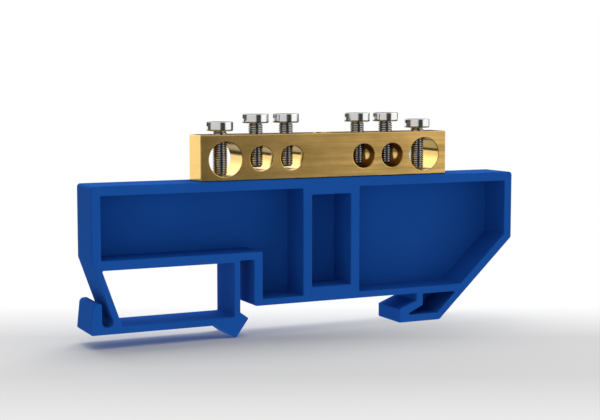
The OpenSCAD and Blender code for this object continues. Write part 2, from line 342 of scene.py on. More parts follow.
class NodeTree:
    """A tree of shader nodes, with short calls that add and join them."""

    def __init__(self, tree: bpy.types.ShaderNodeTree) -> None:
        """Clears the tree."""
        self.tree = tree
        self.tree.nodes.clear()

    def put(self, value: object, socket: Socket) -> None:
        """Joins an output to an input, or sets the input where the value is a plain one.

        Args:
            value: an output, a number, a vector or a colour.
            socket: the input.
        """
        if isinstance(value, Socket):
            self.tree.links.new(value, socket)
        else:
            socket.default_value = value

    def add(self, kind: str, **values: object) -> bpy.types.Node:
        """Adds a node.

        Args:
            kind: the node's type name.
            values: the node's own options and what goes into its inputs, by name.

        Returns:
            The new node.
        """
        node = self.tree.nodes.new(kind)
        for key, value in values.items():
            if hasattr(node, key):
                setattr(node, key, value)
            else:
                self.put(value, node.inputs[key.replace("_", " ")])
        return node

    def split(self, vector: Socket) -> list[Socket]:
        """Returns a vector's x, y and z."""
        return list(self.add("ShaderNodeSeparateXYZ", Vector=vector).outputs)

    def math(self, operation: str, *values: object) -> Socket:
        """Adds a sum on numbers and outputs.

        Args:
            operation: the sum's name.
            values: what it works on, in order.

        Returns:
            The result.
        """
        node = self.add("ShaderNodeMath", operation=operation)
        for socket, value in zip(node.inputs, values):
            self.put(value, socket)
        return node.outputs["Value"]

    def span(self, value: Socket, over: Sequence[float],
             to: Sequence[float] = (0.0, 1.0)) -> Socket:
        """Maps a value from one range to another, held at both ends.

        Args:
            value: the value that is mapped.
            over: the two ends of its range.
            to: what they become.

        Returns:
            The mapped value.
        """
        node = self.add("ShaderNodeMapRange", Value=value, From_Min=over[0], From_Max=over[1],
                        To_Min=to[0], To_Max=to[1])
        return node.outputs["Result"]

    def tones(self, value: Socket, stops: Stops) -> Socket:
        """Turns a value into a grey tone by a list of stops, with straight runs between them.

        Args:
            value: the value that is looked up.
            stops: values in rising order and the tone at each.

        Returns:
            The tone.
        """
        first, last = stops[0][0], stops[-1][0]
        ramp = self.add("ShaderNodeValToRGB", Fac=self.span(value, (first, last)))
        marks = ramp.color_ramp.elements
        while len(marks) < len(stops):
            marks.new(1.0)
        for mark, (at, tone) in zip(marks, stops):
            mark.position = (at - first) / (last - first)
            mark.color = (tone, tone, tone, 1.0)
        return ramp.outputs["Color"]

    def mix(self, share: Socket, first: Triple | Socket, second: Triple | Socket) -> Socket:
        """Goes from one colour to another.

        Args:
            share: share of the second colour.
            first: a colour or an output.
            second: a colour or an output.

        Returns:
            The mixed colour.
        """
        node = self.add("ShaderNodeMix", data_type="RGBA", Factor=share)
        colours = [socket for socket in node.inputs if socket.type == "RGBA"]
        for socket, value in zip(colours, (first, second)):
            self.put(value if isinstance(value, Socket) else (*value, 1.0), socket)
        return next(socket for socket in node.outputs if socket.type == "RGBA")


@dataclass(frozen=True)
class Noise:
    """A noise: patterns per metre along x, y and z, octaves of finer noise and their strength."""

    stretch: Triple
    detail: float
    roughness: float


class NodeSheet(NodeTree):
    """A material's nodes round one principled shader."""

    def __init__(self, name: str) -> None:
        """Starts a material with its shader, its output and the piece's own coordinates.

        Args:
            name: the material's name.
        """
        self.material = bpy.data.materials.new(name)
        self.material.use_nodes = True
        super().__init__(self.material.node_tree)
        self.shader = self.add("ShaderNodeBsdfPrincipled")
        self.output = self.add("ShaderNodeOutputMaterial", Surface=self.shader.outputs["BSDF"])
        self.place = self.add("ShaderNodeTexCoord").outputs["Object"]

    def dress(self, **values: object) -> None:
        """Gives the shader's inputs, by name, an output or a plain value each."""
        for key, value in values.items():
            self.put(value, self.shader.inputs[key.replace("_", " ")])

    def noise(self, pattern: Noise) -> Socket:
        """Adds a noise on the piece's own coordinates.

        Args:
            pattern: the noise's sizes.

        Returns:
            Its value, from 0 to 1.
        """
        mapping = self.add("ShaderNodeMapping", Vector=self.place, Scale=pattern.stretch)
        noise = self.add("ShaderNodeTexNoise", Vector=mapping.outputs["Vector"], Scale=1.0,
                         Detail=pattern.detail, Roughness=pattern.roughness)
        return noise.outputs["Fac"]

    def bump(self, height: Socket, strength: float, depth_mm: float) -> None:
        """Gives the shader relief from a height of 0 to 1, with a strength and a full depth."""
        node = self.add("ShaderNodeBump", Height=height, Strength=strength, Distance=depth_mm * MM)
        self.dress(Normal=node.outputs["Normal"])


@dataclass(frozen=True)
class MouldedPlastic:
    """Satin moulded plastic: an even colour, a faint cloud in it and a very fine grain."""

    name: str = "blue_moulding"
    deep: Triple = (0.0096, 0.0770, 0.345)
    clear: Triple = (0.0112, 0.0850, 0.375)
    gloss: Pair = (0.56, 0.68)
    sheen_level: float = 0.004
    cloud: Noise = Noise((70.0, 70.0, 70.0), 3.0, 0.55)
    cloud_range: Pair = (0.35, 0.65)
    grain: Noise = Noise((9000.0, 9000.0, 9000.0), 2.0, 0.6)
    grain_range: Pair = (0.3, 0.7)
    relief: float = 0.12
    relief_mm: float = 0.012

    def material(self) -> bpy.types.Material:
        """Makes the finish.

        The cloud goes from one colour to the other. The grain sets the roughness and the relief.

        Returns:
            The material.
        """
        sheet = NodeSheet(self.name)
        cloud, grain = sheet.noise(self.cloud), sheet.noise(self.grain)
        sheet.dress(
            Base_Color=sheet.mix(sheet.span(cloud, self.cloud_range), self.deep, self.clear),
            Roughness=sheet.span(grain, self.grain_range, self.gloss),
            Specular_IOR_Level=self.sheen_level)
        sheet.bump(grain, self.relief, self.relief_mm)
        return sheet.material


@dataclass(frozen=True, kw_only=True)
class DrawnBrass:
    """Brass with streaks along the bar, or with rings across it where a drill has been."""

    name: str
    deep: Triple
    bright: Triple
    gloss: Pair
    streak: Triple
    streak_detail: float = 4.0
    streak_roughness: float = 0.62
    streak_share: float = 0.6
    cloud: Noise = Noise((110.0, 260.0, 260.0), 3.0, 0.5)
    cloud_share: float = 0.4
    noise_range: Pair = (0.3, 0.7)
    tint_range: Pair = (0.3, 0.72)
    relief: float
    relief_mm: float = 0.01

    def tint(self, sheet: NodeSheet, share: Socket) -> Socket:
        """Returns the clean brass's colour, from deep to bright with the share."""
        return sheet.mix(sheet.span(share, self.tint_range), self.deep, self.bright)

    def colour(self, sheet: NodeSheet, share: Socket) -> None:
        """Colours the shader as clean metal."""
        sheet.dress(Base_Color=self.tint(sheet, share), Metallic=1.0)

    def material(self) -> bpy.types.Material:
        """Makes the finish.

        The colour goes with a share of the streak plus a share of the cloud. The streak also
        sets the relief, and the roughness, which falls as the streak rises.

        Returns:
            The material.
        """
        sheet = NodeSheet(self.name)
        streak = sheet.noise(Noise(self.streak, self.streak_detail, self.streak_roughness))
        cloud = sheet.span(sheet.noise(self.cloud), self.noise_range, (0.0, self.cloud_share))
        self.colour(sheet, sheet.math("MULTIPLY_ADD", streak, self.streak_share, cloud))
        sheet.dress(Roughness=sheet.span(streak, self.noise_range, self.gloss[::-1]))
        sheet.bump(streak, self.relief, self.relief_mm)
        return sheet.material


@dataclass(frozen=True, kw_only=True)
class PaintedShadeBrass(DrawnBrass):
    """Drilled brass with painted shade, dark brown over the wall, and a painted highlight of clean
    brass on each side.
    """

    # painted shade: dark brown, and paler in a band below the middle
    painted_shade: Triple
    pale_shade: Triple
    level: float
    # half sizes of the painted highlight's oval of clean brass, in depth and in height
    highlight_half: Pair
    shade_fade: Pair = (0.45, 1.6)
    pale_shade_drop: float = 0.8
    pale_shade_reach: float = 2.9

    def colour(self, sheet: NodeSheet, share: Socket) -> None:
        """Colours the shader as clean metal, a painted highlight, in an oval at the hole's middle,
        and as painted shade round it.

        The distance from the middle is the sum of the squares of the depth and the height, each
        over the oval's own half. The painted shade is paler in a band a little below the middle,
        by the square of the height from there.

        Args:
            sheet: the material's nodes.
            share: share of the bright metal in the clean colour.
        """
        _, y, z = sheet.split(sheet.place)
        deep = sheet.math("DIVIDE", y, self.highlight_half[0] * MM)
        high = sheet.math("SUBTRACT", z, self.level * MM)
        high = sheet.math("DIVIDE", high, self.highlight_half[1] * MM)
        away = sheet.math("MULTIPLY_ADD", deep, deep, sheet.math("MULTIPLY", high, high))
        low = sheet.math("ADD", high, self.pale_shade_drop)
        low = sheet.math("MULTIPLY", low, low)
        shade_colour = sheet.mix(sheet.span(low, (0.0, self.pale_shade_reach)), self.pale_shade, self.painted_shade)
        shade_share = sheet.span(away, self.shade_fade)
        sheet.dress(Base_Color=sheet.mix(shade_share, self.tint(sheet, share), shade_colour),
                    Metallic=sheet.span(shade_share, (0.0, 1.0), (1.0, 0.0)),
                    Specular_IOR_Level=0.0)


@dataclass(frozen=True, kw_only=True)
class PlatedSteel:
    """Bright plated steel with a faint haze."""

    name: str
    tone: Triple
    haze: Triple
    gloss: Pair
    cloud: Noise = Noise((900.0, 900.0, 1400.0), 3.0, 0.6)
    haze_range: Pair = (0.35, 0.7)
    gloss_range: Pair = (0.3, 0.7)
    grain: Noise = Noise((6000.0, 6000.0, 12000.0), 2.0, 0.5)
    relief: float = 0.05
    relief_mm: float = 0.004

    def material(self) -> bpy.types.Material:
        """Makes the finish.

        The cloud sets the colour and the roughness. The grain sets the relief.

        Returns:
            The material.
        """
        sheet = NodeSheet(self.name)
        cloud = sheet.noise(self.cloud)
        sheet.dress(
            Base_Color=sheet.mix(sheet.span(cloud, self.haze_range), self.tone, self.haze),
            Roughness=sheet.span(cloud, self.gloss_range, self.gloss),
            Metallic=1.0)
        sheet.bump(sheet.noise(self.grain), self.relief, self.relief_mm)
        return sheet.material


PLASTIC = MouldedPlastic()
BAR_FACE = DrawnBrass(
    name="brass_drawn", deep=(0.57, 0.358, 0.110), bright=(0.97, 0.63, 0.203),
    gloss=(0.19, 0.28), streak=(45.0, 1300.0, 1300.0), relief=0.12)
BAR_BORE = DrawnBrass(
    name="brass_bored", deep=(0.86, 0.57, 0.165), bright=(0.94, 0.64, 0.20),
    gloss=(0.10, 0.17), streak=(500.0, 3000.0, 500.0), relief=0.05)
# painted shade in two bores, with a painted highlight of clean brass at the middle of each wall
BAR_SHADED_BORE = PaintedShadeBrass(
    name="brass_bored_painted_shade", deep=(0.76, 0.51, 0.155), bright=(0.83, 0.57, 0.188),
    gloss=(0.22, 0.32), streak=(500.0, 3000.0, 500.0), relief=0.08,
    painted_shade=(0.078, 0.030, 0.003), pale_shade=(0.30, 0.112, 0.015), level=31.25, highlight_half=(0.85, 0.85))
BAR_END = DrawnBrass(
    name="brass_sawn", deep=(0.90, 0.56, 0.115), bright=(0.96, 0.61, 0.130),
    gloss=(0.16, 0.22), streak=(1800.0, 300.0, 2400.0), relief=0.06)
HEAD_STEEL = PlatedSteel(
    name="steel_plated", tone=(0.82, 0.82, 0.81), haze=(0.88, 0.88, 0.87), gloss=(0.11, 0.16))
# a darker copy of the plated steel: painted shade on the thread and under the head
SHADED_STEEL = PlatedSteel(
    name="steel_painted_shade", tone=(0.40, 0.40, 0.40), haze=(0.50, 0.50, 0.49), gloss=(0.16, 0.26))


@dataclass
class Holder:
    """The moulded holder: a walled tray, a fixed hook and a latch on two spring legs."""

    body_len: float = 83.2
    body_h: float = 22.1
    depth: float = 8.2
    wall: float = 1.65
    base_wall: float = 1.2
    back_wall: float = 1.3
    rib: float = 1.75
    core_w: float = 7.8
    core_roof: float = 2.85
    core_floor: float = 2.65
    core_shift: float = 2.9
    side_h: float = 12.6
    shelf_drop: float = 12.5
    outer_r: float = 0.6
    pocket_r: float = 0.2
    rail_span: float = 35.6
    rail_room: float = 1.35
    foot_drop: float = 5.3
    hook_reach: float = 3.65
    hook_slope: float = 21.0
    foot_len: float = 8.7
    hook_wall: float = 1.35
    spring_t: float = 1.15
    leg_lean: float = 19.5
    flex_gap: float = 2.6
    flex_rise: float = 0.3
    ledge_drop: float = 1.6
    ledge_t: float = 1.25
    catch_drop: float = 0.9
    catch_reach: float = 1.55
    catch_slope: float = 36.0
    tab_w: float = 2.1
    tab_h: float = 5.35
    tab_out: float = 0.4
    tab_lean: float = 6.0
    tab_r: float = 0.45
    tab_crown_r: float = 0.80
    tab_foot_r: float = 0.50
    small_r: float = 0.2
    notch_r: float = 0.06
    floor_share: float = 0.95  # of the slot's floor beside the tab, taken up by roundings
    screw_hole_r: float = 1.29
    screw_hole_sides: int = 40
    edge_r: float = 0.22
    edge_steps: int = 6
    rim_r: float = 0.13
    floor_r: float = 0.16

    def __post_init__(self) -> None:
        """Works out the levels and places that the outlines share."""
        self.z_base = self.foot_drop
        self.z_top = self.z_base + self.body_h
        self.z_shelf = self.z_top - self.shelf_drop
        self.z_soffit = self.z_shelf - self.wall
        self.z_ledge = self.z_base - self.ledge_drop
        self.z_under = self.z_ledge - self.ledge_t
        self.z_floor = self.z_base + self.base_wall
        self.z_roof = self.z_top - self.wall
        self.z_core_roof = self.z_top - self.core_roof
        self.z_hook = self.z_base - self.rail_room
        self.x_left = (self.tab_out - self.body_len) / 2
        self.x_right = self.x_left + self.body_len
        self.x_core = self.x_left + self.body_len / 2 + self.core_shift
        self.x_leg = self.x_core - self.rail_span / 2
        self.x_notch = self.x_core + self.rail_span / 2
        self.x_wall = self.x_leg + self.flex_gap
        self.x_lip = self.x_notch - self.hook_reach
        self.x_heel = self.x_lip + self.foot_len
        self.z_corner = self.z_top - self.side_h
        self.slope = unit(np.array([self.x_heel - self.x_right, -self.z_corner]))

    def _leg(self, z: float, inner: bool = False) -> float:
        """Works out a face of the outer spring leg, which leans in from the shelf downwards.

        Args:
            z: a height.
            inner: whether it is the inner face, one thickness inside the outer one.

        Returns:
            The place of the face at that height.
        """
        lean = np.radians(self.leg_lean)
        outer = self.x_left + (self.z_shelf - z) * np.tan(lean)
        return outer + inner * self.spring_t / np.cos(lean)

    def _slope_x(self, z: float, inside: float) -> float:
        """Returns the place of the sloping wall's line at a height and a depth inside it."""
        return self.x_right + ((z - self.z_corner) * self.slope[0] + inside) / self.slope[1]

    def _slope_z(self, x: float, inside: float) -> float:
        """Returns the height of the sloping wall's line at a place and a depth inside it."""
        return self.z_corner + ((x - self.x_right) * self.slope[1] - inside) / self.slope[0]

    def outline(self) -> Loop:
        """Works out the outline of the whole moulding, from its upper left corner.

        The slot beside the tab has about the largest rounding that fits on its floor. The catch
        slopes down to a toe, whose rounding touches the lowest level.

        Returns:
            The outline.
        """
        slopes = np.radians([self.hook_slope, self.catch_slope, self.tab_lean])
        hook, catch, tab = np.tan(slopes)
        bend = slopes[1]
        z_flex, z_catch = self.z_soffit + self.flex_rise, self.z_base - self.catch_drop
        z_tab = self.z_under + self.tab_h
        x_tab = self.x_left - self.tab_out
        x_tab_in = x_tab + self.tab_w
        slot = self._leg(self.z_ledge) - x_tab_in
        slot_r = self.floor_share * slot / (1 + 1 / np.tan(np.radians(90 - self.leg_lean) / 2))
        shoulder = (self.x_leg + self.catch_reach, z_catch - self.catch_reach * catch)
        z_toe = self.small_r * (1 - np.sin(bend) - np.cos(bend))
        x_toe = shoulder[0] - (shoulder[1] - z_toe) * catch
        return Loop((
            (self.x_left, self.z_top, self.outer_r),
            (self.x_left, self.z_shelf, self.outer_r),
            (self._leg(self.z_ledge), self.z_ledge, slot_r),
            (x_tab_in, self.z_ledge, slot_r),
            (x_tab_in, z_tab, self.tab_r),
            (x_tab + self.tab_h * tab, z_tab, self.tab_crown_r),
            (x_tab, self.z_under, self.tab_foot_r),
            (x_toe - (self.z_under - z_toe) / catch, self.z_under, self.small_r),
            (x_toe, z_toe, self.small_r),
            (*shoulder, self.small_r),
            (self.x_leg, z_catch, self.small_r),
            (self.x_leg, z_flex, self.pocket_r),
            (self.x_wall, z_flex, self.pocket_r),
            (self.x_wall, self.z_base, self.outer_r),
            (self.x_notch, self.z_base, self.notch_r),
            (self.x_notch, self.z_hook, self.notch_r),
            (self.x_lip, self.z_hook - self.hook_reach * hook, self.small_r),
            (self.x_lip, 0.0, self.small_r),
            (self.x_heel, 0.0, self.outer_r),
            (self.x_right, self.z_corner, self.outer_r),
            (self.x_right, self.z_top, self.outer_r),
        ))

    def window(self) -> Loop:
        """Works out the latch's window, between its two legs, the shelf and the ledge.

        Returns:
            The outline.
        """
        r, x_in = self.pocket_r, self.x_leg - self.spring_t
        return Loop((
            (self._leg(self.z_soffit, True), self.z_soffit, r),
            (self._leg(self.z_ledge, True), self.z_ledge, r),
            (x_in, self.z_ledge, r),
            (x_in, self.z_soffit, r),
        ))

    def core_pocket(self) -> Loop:
        """Works out the middle pocket, a rectangle between the two ribs.

        Returns:
            The outline.
        """
        r, half = self.pocket_r, self.core_w / 2
        low, high = self.z_base + self.core_floor, self.z_core_roof
        return Loop(tuple((self.x_core + s * half, z, r)
                          for s, z in ((-1, high), (-1, low), (1, low), (1, high))))

    def side_pockets(self) -> list[Loop]:
        """Works out the other pockets, each one wall inside the outline.

        Returns:
            The outlines of the left pocket, the right pocket and the hook's pocket.
        """
        r, w = self.pocket_r, self.hook_wall
        inside = self.core_w / 2 + self.rib
        left, step = self.x_left + self.wall, self.x_wall + self.wall
        x_l, x_r, right = self.x_core - inside, self.x_core + inside, self.x_right - self.wall
        hook = np.tan(np.radians(self.hook_slope))
        skin = w / np.cos(np.radians(self.hook_slope))
        z_in, x_in = self.z_floor - w, self.x_notch + w
        tip = max(self.x_lip + w, self.x_notch + (w - self.z_hook + skin) / hook)
        return [
            Loop(((left, self.z_roof, r), (left, self.z_shelf, r), (step, self.z_shelf, r),
                  (step, self.z_floor, r), (x_l, self.z_floor, r), (x_l, self.z_roof, r))),
            Loop(((x_r, self.z_roof, r), (x_r, self.z_floor, r),
                  (self._slope_x(self.z_floor, self.wall), self.z_floor, r),
                  (right, self._slope_z(right, self.wall), r), (right, self.z_roof, r))),
            Loop(((x_in, z_in, r), (x_in, self.z_hook + (x_in - self.x_notch) * hook - skin, r),
                  (tip, w, r), (self._slope_x(w, w), w, r), (self._slope_x(z_in, w), z_in, r))),
        ]

    def build(self) -> bpy.types.Object:
        """Makes the moulding.

        Every outline is carried through the depth on one section: a rounded edge at the front, a
        straight wall, and a rounded edge at the back, or a fillet into a pocket's floor. The flats
        at the front, at the back and on the pockets' floors are filled between the outlines.

        Returns:
            The piece, which stands for the holder's solid.
        """
        skin = Skin()
        front, back = -self.depth / 2, self.depth / 2
        outline, core = self.outline(), self.core_pocket()
        inset, through = rounded_wall(self.edge_r, front, back, self.edge_steps)
        row = len(inset) // 2 - 1
        outer = skin.grid(outline.carried(-inset, through, Axis.Y),
                          drop=[(row, outline.side(-1))])
        roof = outer[row:row + 2, [-1, 0]]
        inset, through = rounded_wall(self.rim_r, front, back)
        row = len(inset) // 2 - 1
        inner = skin.grid(self.window().carried(inset, through, Axis.Y))
        rims, flats = [outer[0], inner[0]], [outer[-1], inner[-1]]
        floor_in, floor_up = round_edge(self.floor_r)
        section = np.r_[inset[:row + 1], -floor_in[::-1]]
        blind = np.r_[through[:row + 1], (back - self.back_wall - floor_up)[::-1]]
        for pocket in (core, *self.side_pockets()):
            under_screw = [(row, pocket.side(-1))] if pocket is core else []
            grid = skin.grid(pocket.carried(section, blind, Axis.Y), drop=under_screw)
            rims.append(grid[0])
            skin.fill([grid[-1]], Axis.Y)
            if pocket is core:
                ceiling = grid[row:row + 2, [-1, 0]]
        skin.fill(rims, Axis.Y)
        skin.fill(flats, Axis.Y)
        self._screw_hole(skin, roof, ceiling)
        piece = skin.build("holder_moulding", [PLASTIC.material()])
        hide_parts("holder")
        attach(piece, Body.BASE.value)
        return piece

    def _screw_hole(self, skin: Skin, roof: Array, ceiling: Array) -> None:
        """Adds the fixing screw's hole, a circle carried from the pocket's ceiling to the top.

        Args:
            skin: the moulding's surface.
            roof: the corners of the top's flat.
            ceiling: the corners of the flat over the middle pocket.
        """
        hole = skin.grid(turned(np.full(2, self.screw_hole_r), (self.z_core_roof, self.z_top),
                                full_turn(self.screw_hole_sides), (self.x_core, 0.0)))
        for patch, ring in zip((ceiling, roof), hole):
            skin.fill([around(patch), ring], Axis.Z)


@dataclass
class TerminalBar:
    """The brass bar: a square bar with wire holes through it and a tapped hole over each."""

    length: float = 49.1
    height: float = 8.0
    thick: float = 5.5
    x_mid: float = 3.1
    z_low: float = 27.4
    hole_level: float = 3.75
    big_r: float = 3.1
    small_r: float = 2.2
    inner_x: float = 7.2
    outer_x: float = 13.1
    end_x: float = 19.9
    tapped_r: float = 1.29
    mouth_r: float = 0.1
    mouth_steps: int = 3
    edge_r: float = 0.15
    edge_steps: int = 4
    fix_r: float = 1.29
    fix_sides: int = 64
    sink_r: float = 2.24
    sink_depth: float = 0.1
    margin: float = 0.35  # round a tapped hole, where the wire hole's wall changes grids
    side_steps: int = 12
    top_steps: int = 16
    low_steps: int = 56
    ring_steps: int = 5
    shaded_bores: tuple[int, ...] = (3, 4)  # bores with painted shade, counted from 0 at the left

    def __post_init__(self) -> None:
        """Works out the level of the bar's top."""
        self.z_top = self.z_low + self.height

    def places(self) -> list[Pair]:
        """Works out the wire holes, which are alike on both sides of the bar's middle.

        Returns:
            Each hole's place and radius, from left to right.
        """
        half = [(self.inner_x, self.small_r), (self.outer_x, self.small_r),
                (self.end_x, self.big_r)]
        both = [(-x, r) for x, r in reversed(half)] + half
        return [(self.x_mid + x, r) for x, r in both]

    def _bore(self, skin: Skin, x_mid: float, radius: float,
              finish: BarSlot) -> tuple[Array, Array, Array]:
        """Adds one wire hole and the tapped hole over it.

        Below, the wall is a cylinder: an angle round the hole and a place through the bar. Above,
        it is the same cylinder as a height over the plan, on rings that go from the tapped hole's
        circle out to a rectangle. The tapped hole is that circle carried up to the bar's top.

        Args:
            skin: the bar's surface.
            x_mid: place of the hole's axis.
            radius: radius of the hole.
            finish: finish of the hole's wall.

        Returns:
            The rings where the holes meet the front, the back and the top.
        """
        centre = (x_mid, self.z_low + self.hole_level)
        x_side, y_face = self.tapped_r + self.margin, self.thick / 2
        inset, drop = round_edge(self.mouth_r, self.mouth_steps)
        y_wall = y_face - drop[-1]
        corner = np.arccos(x_side / radius)
        y = np.linspace(-y_wall, y_wall, self.side_steps + 1)
        top = np.linspace(corner, np.pi - corner, self.top_steps + 1)
        low = np.linspace(np.pi - corner, FULL_TURN + corner, self.low_steps + 1)
        below = turned(np.full_like(y, radius), y, low, centre, Axis.Y)
        skin.grid(below, wrap=False, slot=finish)
        x = radius * np.cos(top)
        half = np.r_[np.stack([np.full_like(y, x_side), y], axis=-1)[:-1],
                     np.stack([x, np.full_like(x, y_wall)], axis=-1)[:-1]]
        edge = np.r_[half, -half]
        angles = np.arctan2(edge[:, 1], edge[:, 0])
        share = np.linspace(0.0, 1.0, self.ring_steps + 1)[:, None, None]
        plan = (1 - share) * circle(self.tapped_r, angles) + share * edge
        above = laid(plan + (x_mid, 0.0), centre[1] + np.sqrt(radius**2 - plan[..., 0] ** 2))
        skin.grid(above, slot=finish)
        mouth = np.r_[top[:-1], low[:-1]]
        rings = []
        for side in (-1.0, 1.0):
            grid = turned(radius + inset, side * (y_face - drop), mouth, centre, Axis.Y)
            rings.append(skin.grid(grid, slot=BarSlot.FACE)[0])
        wide = self.tapped_r + np.r_[0.0, inset[::-1]]
        levels = np.r_[0.0, self.z_top - drop[::-1]]
        tapped = turned(wide, levels, angles, (x_mid, 0.0))
        tapped[0, :, 2] = above[0, :, 2]  # its foot lies on the wire hole's wall
        return rings[0], rings[1], skin.grid(tapped, slot=finish)[-1]

    def _fixing_hole(self, skin: Skin) -> tuple[Array, Array]:
        """Adds the countersunk hole in the middle, a profile turned about the screw's axis.

        Args:
            skin: the bar's surface.

        Returns:
            The rings where the hole meets the underside and the top.
        """
        z_edge = self.z_top - self.sink_depth
        wide = (self.fix_r, self.fix_r, self.sink_r, self.sink_r)
        levels = (self.z_low, z_edge - (self.sink_r - self.fix_r), z_edge, self.z_top)
        hole = turned(wide, levels, full_turn(self.fix_sides), (self.x_mid, 0.0))
        skin.grid(hole, slot=BarSlot.BORE)
        return hole[0], hole[-1]

    def build(self) -> bpy.types.Object:
        """Makes the bar.

        A rounded rectangle is carried along the bar, with a rounded edge at each end. Its four long
        flats and its two ends are filled, less the holes.

        Returns:
            The piece, which stands for the bar's solid.
        """
        skin = Skin()
        y, r = self.thick / 2, self.edge_r
        corners = ((-y, self.z_low, r), (y, self.z_low, r), (y, self.z_top, r), (-y, self.z_top, r))
        section = Loop(corners, self.edge_steps)
        ends = (self.x_mid - self.length / 2, self.x_mid + self.length / 2)
        inset, along = rounded_wall(r, *ends, self.edge_steps)
        row = len(inset) // 2 - 1
        sides = [section.side(corner) for corner in range(len(corners))]
        grid = skin.grid(section.carried(-inset, along, Axis.X),
                         drop=[(row, column) for column in sides])
        for end in (grid[0], grid[-1]):
            skin.fill([end], Axis.X, BarSlot.END)
        holes = [self._bore(skin, x, radius, BarSlot.PAINTED_SHADE if i in self.shaded_bores else BarSlot.BORE)
                 for i, (x, radius) in enumerate(self.places())]
        fronts, backs, tops = zip(*holes)
        under, over = self._fixing_hole(skin)
        flats = (Axis.Z, [under]), (Axis.Y, backs), (Axis.Z, [*tops, over]), (Axis.Y, fronts)
        for column, (axis, rings) in zip(sides, flats):
            patch = grid[row:row + 2, [column, (column + 1) % grid.shape[1]]]
            skin.fill([around(patch), *rings], axis)
        finishes = (BAR_FACE, BAR_BORE, BAR_SHADED_BORE, BAR_END)
        piece = skin.build("terminal_bar_brass", [brass.material() for brass in finishes])
        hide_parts("terminal_bar")
        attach(piece, Body.BASE.value)
        return piece


@dataclass
class SlottedHead:
    """The upper part of a screw's head: two halves of a disc with a driving slot between them."""

    slot_w: float = 0.6
    slot_round: float = 0.5  # share of the edge's rounding along the slot
    arc_steps: int = 26
    end_steps: int = 4
    chord_steps: int = 8
    flat_rows: int = 5

    def angles(self, radius: float) -> Array:
        """Works out the angles round the screw that meet both halves and the slot's two ends.

        An end's angle has a sine of half the slot's width over the radius.

        Args:
            radius: radius of the head at the slot's floor.

        Returns:
            The angles, in rising order.
        """
        a = np.arcsin(self.slot_w / 2 / radius)
        half = np.r_[np.linspace(a, np.pi - a, self.arc_steps, endpoint=False),
                     np.linspace(np.pi - a, np.pi + a, self.end_steps, endpoint=False)]
        return np.r_[half, half + np.pi]

    def _half(self, radius: Array, chord: Array, z: Array) -> Array:
        """Works out one half: rings of an arc and its chord, one ring for each level.

        Args:
            radius: the arc's radius, one value a level.
            chord: the chord's distance from the screw's axis, one value a level.
            z: the level's height.

        Returns:
            A grid of points, one row for each level.
        """
        a = np.arcsin(np.clip(chord / radius, -1.0, 1.0))[:, None]
        angle = a + (np.pi - 2 * a) * np.linspace(0.0, 1.0, self.arc_steps + 1)
        arc = radius[:, None, None] * circle(1.0, angle)
        s = np.linspace(-1.0, 1.0, self.chord_steps + 1)[1:-1]
        along = s * radius[:, None] * np.cos(a)
        line = np.stack([along, np.broadcast_to(chord[:, None], along.shape)], axis=-1)
        return laid(np.concatenate([arc, line], axis=1), z[:, None])

    def add(self, skin: Skin, wall: Array, z: Array, edge_r: float, centre: Pair) -> None:
        """Adds both halves and the slot's floor.

        The wall goes up from the slot's floor, turns over a rounded edge, and the flat on top
        shrinks to one point in the middle of each half. The floor is a place along the slot by one
        across it, and ends on the wall's circle.

        Args:
            skin: the screw's surface.
            wall: radius of the head's side, one value a level, from the slot's floor upwards.
            z: height of each of those levels; the last is the top.
            edge_r: radius of the top's edge.
            centre: place of the screw's axis.
        """
        half_w = self.slot_w / 2
        inset, drop = (values[::-1] for values in round_edge(edge_r))
        rim = np.interp(z[-1] - drop, z, wall) - inset
        slot_edge = half_w + self.slot_round * edge_r
        middle = (rim[-1] + slot_edge) / 2
        flat_r = np.linspace(rim[-1], middle, self.flat_rows)[1:]
        flat_c = np.linspace(slot_edge, middle, self.flat_rows)[1:]
        radius = np.r_[wall[:-1], rim, flat_r]
        chord = np.r_[np.full_like(wall[:-1], half_w), half_w + self.slot_round * inset, flat_c]
        level = np.r_[z[:-1], z[-1] - drop, np.full_like(flat_r, z[-1])]
        half = self._half(radius, chord, level)
        other = half * (-1.0, -1.0, 1.0)  # half a turn round the axis
        s = np.linspace(-1.0, 1.0, self.chord_steps + 1)
        a = np.arcsin(half_w / wall[0])
        y = wall[0] * np.sin(np.linspace(-a, a, self.end_steps + 1))
        along = s * np.sqrt(wall[0] ** 2 - y**2)[:, None]
        floor = laid(np.stack([along, np.broadcast_to(y[:, None], along.shape)], axis=-1), z[0])
        for grid, wrap in ((half, True), (other, True), (floor, False)):
            skin.grid(grid + (*centre, 0.0), wrap=wrap, slot=ScrewSlot.HEAD)


